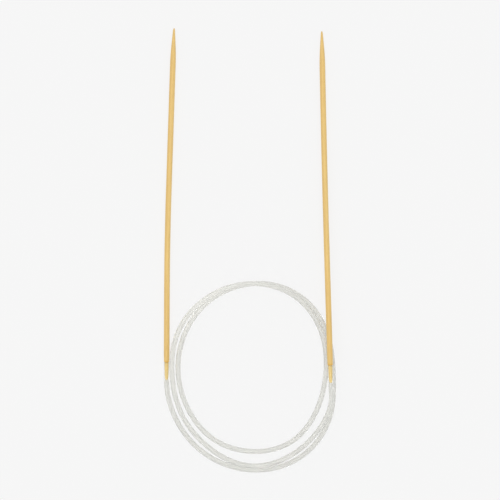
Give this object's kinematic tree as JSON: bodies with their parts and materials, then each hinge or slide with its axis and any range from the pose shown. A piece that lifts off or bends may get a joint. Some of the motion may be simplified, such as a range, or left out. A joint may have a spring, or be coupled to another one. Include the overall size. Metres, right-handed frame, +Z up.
{
  "type": "circular knitting needle",
  "caption": "Circular knitting needle: slim bamboo needles with blunt points, joined at their shoulders by a long hollow flexible cord, coiled flat.",
  "frame": {"origin": "middle of the footprint, on the table", "axes": "+Y from the coil towards the two points, +X from the left needle to the right needle, +Z up from the table the needle lies on"},
  "size_m": [0.0679, 0.1751, 0.0068],
  "materials": {
    "bamboo": "smooth waxed bamboo, satin, faint lengthwise fibre streaks",
    "cord_tube": "frosted translucent soft plastic, satin"
  },
  "bodies": {
    "left_needle": {"left_needle": "bamboo", "cord_end_left": "cord_tube"},
    "cord_neck_left_front": {"cord_neck_left_front": "cord_tube"},
    "cord_neck_left_rear": {"cord_neck_left_rear": "cord_tube"},
    "cord_link_01": {"cord_link_01": "cord_tube"},
    "cord_link_02": {"cord_link_02": "cord_tube"},
    "cord_link_03": {"cord_link_03": "cord_tube"},
    "cord_link_04": {"cord_link_04": "cord_tube"},
    "cord_link_05": {"cord_link_05": "cord_tube"},
    "cord_link_06": {"cord_link_06": "cord_tube"},
    "cord_link_07": {"cord_link_07": "cord_tube"},
    "cord_link_08": {"cord_link_08": "cord_tube"},
    "cord_link_09": {"cord_link_09": "cord_tube"},
    "cord_link_10": {"cord_link_10": "cord_tube"},
    "cord_link_11": {"cord_link_11": "cord_tube"},
    "cord_link_12": {"cord_link_12": "cord_tube"},
    "cord_link_13": {"cord_link_13": "cord_tube"},
    "cord_link_14": {"cord_link_14": "cord_tube"},
    "cord_link_15": {"cord_link_15": "cord_tube"},
    "cord_link_16": {"cord_link_16": "cord_tube"},
    "cord_link_17": {"cord_link_17": "cord_tube"},
    "cord_link_18": {"cord_link_18": "cord_tube"},
    "cord_link_19": {"cord_link_19": "cord_tube"},
    "cord_link_20": {"cord_link_20": "cord_tube"},
    "cord_link_21": {"cord_link_21": "cord_tube"},
    "cord_link_22": {"cord_link_22": "cord_tube"},
    "cord_link_23": {"cord_link_23": "cord_tube"},
    "cord_link_24": {"cord_link_24": "cord_tube"},
    "cord_link_25": {"cord_link_25": "cord_tube"},
    "cord_link_26": {"cord_link_26": "cord_tube"},
    "cord_link_27": {"cord_link_27": "cord_tube"},
    "cord_link_28": {"cord_link_28": "cord_tube"},
    "cord_link_29": {"cord_link_29": "cord_tube"},
    "cord_link_30": {"cord_link_30": "cord_tube"},
    "cord_neck_right_rear": {"cord_neck_right_rear": "cord_tube"},
    "cord_neck_right_front": {"cord_neck_right_front": "cord_tube"},
    "right_needle": {"right_needle": "bamboo", "cord_end_right": "cord_tube"}
  },
  "joints": [
    {"name": "left_needle_lift", "type": "hinge", "parent": "cord_neck_left_front", "child": "left_needle", "pos_m": [-0.03276, -0.05303, 0.0011], "axis": [1, -0.004, 0], "range_deg": [0, 60]},
    {"name": "left_needle_swing", "type": "hinge", "parent": "cord_neck_left_rear", "child": "cord_neck_left_front", "pos_m": [-0.03209, -0.05798, 0.00106], "axis": [0, 0, 1], "range_deg": [0, 60]},
    {"name": "cord_bend_01", "type": "hinge", "parent": "cord_link_01", "child": "cord_neck_left_rear", "pos_m": [-0.03071, -0.06279, 0.00101], "axis": [0, 0, 1], "range_deg": [0, 32.83]},
    {"name": "cord_bend_02", "type": "hinge", "parent": "cord_link_02", "child": "cord_link_01", "pos_m": [-0.02191, -0.07655, 0.001], "axis": [0, 0, 1], "range_deg": [0, 26.39]},
    {"name": "cord_bend_03", "type": "hinge", "parent": "cord_link_03", "child": "cord_link_02", "pos_m": [-0.00793, -0.08496, 0.001], "axis": [0, 0, 1], "range_deg": [0, 27.28]},
    {"name": "cord_bend_04", "type": "hinge", "parent": "cord_link_04", "child": "cord_link_03", "pos_m": [0.00834, -0.08604, 0.001], "axis": [0, 0, 1], "range_deg": [0, 29.44]},
    {"name": "cord_bend_05", "type": "hinge", "parent": "cord_link_05", "child": "cord_link_04", "pos_m": [0.023, -0.079, 0.001], "axis": [0, 0, 1], "range_deg": [0, 32.42]},
    {"name": "cord_bend_06", "type": "hinge", "parent": "cord_link_06", "child": "cord_link_05", "pos_m": [0.0316, -0.06522, 0.001], "axis": [0, 0, 1], "range_deg": [0, 27.73]},
    {"name": "cord_bend_07", "type": "hinge", "parent": "cord_link_07", "child": "cord_link_06", "pos_m": [0.03282, -0.04887, 0.0012], "axis": [0, 0, 1], "range_deg": [0, 13.04]},
    {"name": "cord_bend_08", "type": "hinge", "parent": "cord_link_08", "child": "cord_link_07", "pos_m": [0.03032, -0.03266, 0.00163], "axis": [0, 0, 1], "range_deg": [0, 25.51]},
    {"name": "cord_bend_09", "type": "hinge", "parent": "cord_link_09", "child": "cord_link_08", "pos_m": [0.02117, -0.01922, 0.00216], "axis": [0, 0, 1], "range_deg": [0, 34.05]},
    {"name": "cord_bend_10", "type": "hinge", "parent": "cord_link_10", "child": "cord_link_09", "pos_m": [0.0061, -0.01322, 0.00267], "axis": [0, 0, 1], "range_deg": [0, 32.09]},
    {"name": "cord_bend_11", "type": "hinge", "parent": "cord_link_11", "child": "cord_link_10", "pos_m": [-0.00992, -0.01614, 0.00306], "axis": [0, 0, 1], "range_deg": [0, 30.31]},
    {"name": "cord_bend_12", "type": "hinge", "parent": "cord_link_12", "child": "cord_link_11", "pos_m": [-0.02227, -0.02675, 0.0032], "axis": [0, 0, 1], "range_deg": [0, 28.73]},
    {"name": "cord_bend_13", "type": "hinge", "parent": "cord_link_13", "child": "cord_link_12", "pos_m": [-0.02802, -0.04201, 0.0032], "axis": [0, 0, 1], "range_deg": [0, 27.18]},
    {"name": "cord_bend_14", "type": "hinge", "parent": "cord_link_14", "child": "cord_link_13", "pos_m": [-0.02617, -0.05822, 0.0032], "axis": [0, 0, 1], "range_deg": [0, 26.29]},
    {"name": "cord_bend_15", "type": "hinge", "parent": "cord_link_15", "child": "cord_link_14", "pos_m": [-0.01733, -0.07194, 0.0032], "axis": [0, 0, 1], "range_deg": [0, 32.24]},
    {"name": "cord_uncoil", "type": "hinge", "parent": "cord_link_16", "child": "cord_link_15", "pos_m": [-0.00263, -0.07879, 0.0032], "axis": [0, 0, 1], "range_deg": [0, 31.89]},
    {"name": "cord_bend_17", "type": "hinge", "parent": "cord_link_16", "child": "cord_link_17", "pos_m": [0.0135, -0.07684, 0.0032], "axis": [0, 0, -1], "range_deg": [0, 37.7]},
    {"name": "cord_bend_18", "type": "hinge", "parent": "cord_link_17", "child": "cord_link_18", "pos_m": [0.02502, -0.06549, 0.0032], "axis": [0, 0, -1], "range_deg": [0, 28.73]},
    {"name": "cord_bend_19", "type": "hinge", "parent": "cord_link_18", "child": "cord_link_19", "pos_m": [0.02973, -0.04981, 0.00324], "axis": [0, 0, -1], "range_deg": [0, 21]},
    {"name": "cord_bend_20", "type": "hinge", "parent": "cord_link_19", "child": "cord_link_20", "pos_m": [0.02851, -0.0335, 0.00369], "axis": [0, 0, -1], "range_deg": [0, 28.22]},
    {"name": "cord_bend_21", "type": "hinge", "parent": "cord_link_20", "child": "cord_link_21", "pos_m": [0.01979, -0.01979, 0.00441], "axis": [0, 0, -1], "range_deg": [0, 34.12]},
    {"name": "cord_bend_22", "type": "hinge", "parent": "cord_link_21", "child": "cord_link_22", "pos_m": [0.0049, -0.01334, 0.00508], "axis": [0, 0, -1], "range_deg": [0, 31.72]},
    {"name": "cord_bend_23", "type": "hinge", "parent": "cord_link_22", "child": "cord_link_23", "pos_m": [-0.01121, -0.01567, 0.0054], "axis": [0, 0, -1], "range_deg": [0, 28.84]},
    {"name": "cord_bend_24", "type": "hinge", "parent": "cord_link_23", "child": "cord_link_24", "pos_m": [-0.02422, -0.0255, 0.0054], "axis": [0, 0, -1], "range_deg": [0, 30.63]},
    {"name": "cord_bend_25", "type": "hinge", "parent": "cord_link_24", "child": "cord_link_25", "pos_m": [-0.03039, -0.04054, 0.0054], "axis": [0, 0, -1], "range_deg": [0, 25.72]},
    {"name": "cord_bend_26", "type": "hinge", "parent": "cord_link_25", "child": "cord_link_26", "pos_m": [-0.02943, -0.0569, 0.0054], "axis": [0, 0, -1], "range_deg": [0, 22.86]},
    {"name": "cord_bend_27", "type": "hinge", "parent": "cord_link_26", "child": "cord_link_27", "pos_m": [-0.02222, -0.07154, 0.0054], "axis": [0, 0, -1], "range_deg": [0, 24.72]},
    {"name": "cord_bend_28", "type": "hinge", "parent": "cord_link_27", "child": "cord_link_28", "pos_m": [-0.00952, -0.08185, 0.0054], "axis": [0, 0, -1], "range_deg": [0, 30.3]},
    {"name": "cord_bend_29", "type": "hinge", "parent": "cord_link_28", "child": "cord_link_29", "pos_m": [0.00645, -0.08432, 0.0054], "axis": [0, 0, -1], "range_deg": [0, 35.44]},
    {"name": "cord_bend_30", "type": "hinge", "parent": "cord_link_29", "child": "cord_link_30", "pos_m": [0.02101, -0.07703, 0.00562], "axis": [0, 0, -1], "range_deg": [0, 26.82]},
    {"name": "cord_bend_31", "type": "hinge", "parent": "cord_link_30", "child": "cord_neck_right_rear", "pos_m": [0.03074, -0.06392, 0.00584], "axis": [0.0783, 0.0023, -0.9969], "range_deg": [0, 38.28]},
    {"name": "right_needle_swing", "type": "hinge", "parent": "cord_neck_right_rear", "child": "cord_neck_right_front", "pos_m": [0.03201, -0.0591, 0.00581], "axis": [0, 0, -1], "range_deg": [0, 60]},
    {"name": "right_needle_lift", "type": "hinge", "parent": "cord_neck_right_front", "child": "right_needle", "pos_m": [0.03188, -0.05411, 0.00571], "axis": [0.9996, 0.0293, 0], "range_deg": [0, 60]}
  ],
  "couplings": [
    {"joint": "cord_bend_01", "follows": "cord_uncoil", "ratio": 1.0289},
    {"joint": "cord_bend_02", "follows": "cord_uncoil", "ratio": 0.8271},
    {"joint": "cord_bend_03", "follows": "cord_uncoil", "ratio": 0.85503},
    {"joint": "cord_bend_04", "follows": "cord_uncoil", "ratio": 0.92268},
    {"joint": "cord_bend_05", "follows": "cord_uncoil", "ratio": 1.016},
    {"joint": "cord_bend_06", "follows": "cord_uncoil", "ratio": 0.86904},
    {"joint": "cord_bend_07", "follows": "cord_uncoil", "ratio": 0.40825},
    {"joint": "cord_bend_08", "follows": "cord_uncoil", "ratio": 0.79931},
    {"joint": "cord_bend_09", "follows": "cord_uncoil", "ratio": 1.0674},
    {"joint": "cord_bend_10", "follows": "cord_uncoil", "ratio": 1.0056},
    {"joint": "cord_bend_11", "follows": "cord_uncoil", "ratio": 0.94998},
    {"joint": "cord_bend_12", "follows": "cord_uncoil", "ratio": 0.90038},
    {"joint": "cord_bend_13", "follows": "cord_uncoil", "ratio": 0.8518},
    {"joint": "cord_bend_14", "follows": "cord_uncoil", "ratio": 0.82392},
    {"joint": "cord_bend_15", "follows": "cord_uncoil", "ratio": 1.0104},
    {"joint": "cord_bend_17", "follows": "cord_uncoil", "ratio": 1.1817},
    {"joint": "cord_bend_18", "follows": "cord_uncoil", "ratio": 0.90037},
    {"joint": "cord_bend_19", "follows": "cord_uncoil", "ratio": 0.6578},
    {"joint": "cord_bend_20", "follows": "cord_uncoil", "ratio": 0.88436},
    {"joint": "cord_bend_21", "follows": "cord_uncoil", "ratio": 1.0694},
    {"joint": "cord_bend_22", "follows": "cord_uncoil", "ratio": 0.99404},
    {"joint": "cord_bend_23", "follows": "cord_uncoil", "ratio": 0.90371},
    {"joint": "cord_bend_24", "follows": "cord_uncoil", "ratio": 0.95989},
    {"joint": "cord_bend_25", "follows": "cord_uncoil", "ratio": 0.80589},
    {"joint": "cord_bend_26", "follows": "cord_uncoil", "ratio": 0.7163},
    {"joint": "cord_bend_27", "follows": "cord_uncoil", "ratio": 0.77461},
    {"joint": "cord_bend_28", "follows": "cord_uncoil", "ratio": 0.94963},
    {"joint": "cord_bend_29", "follows": "cord_uncoil", "ratio": 1.1108},
    {"joint": "cord_bend_30", "follows": "cord_uncoil", "ratio": 0.8405},
    {"joint": "cord_bend_31", "follows": "cord_uncoil", "ratio": 1.1999}
  ]
}
